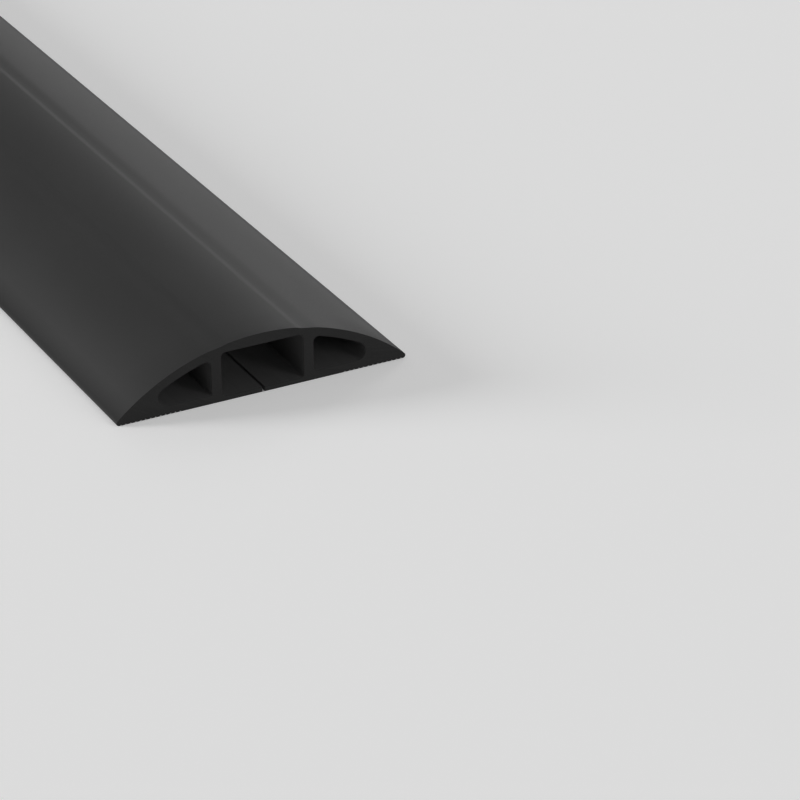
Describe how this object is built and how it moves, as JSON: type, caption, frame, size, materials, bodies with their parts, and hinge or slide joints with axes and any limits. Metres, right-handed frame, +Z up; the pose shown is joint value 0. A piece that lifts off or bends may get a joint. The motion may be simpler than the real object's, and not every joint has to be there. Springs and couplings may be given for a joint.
{
  "type": "floor cord cover",
  "caption": "Long low strip of soft charcoal PVC with a domed top, a slit cord channel underneath and a hollow chamber on each side; it lies over cords on a floor.",
  "frame": {"origin": "middle of the flat base, halfway along the strip", "axes": "+X across the strip, +Y along it, +Z up out of the floor"},
  "size_m": [0.06, 0.914, 0.0122],
  "materials": {
    "charcoal_pvc": "satin"
  },
  "bodies": {
    "root": {"cord_cover": "charcoal_pvc"}
  },
  "joints": []
}
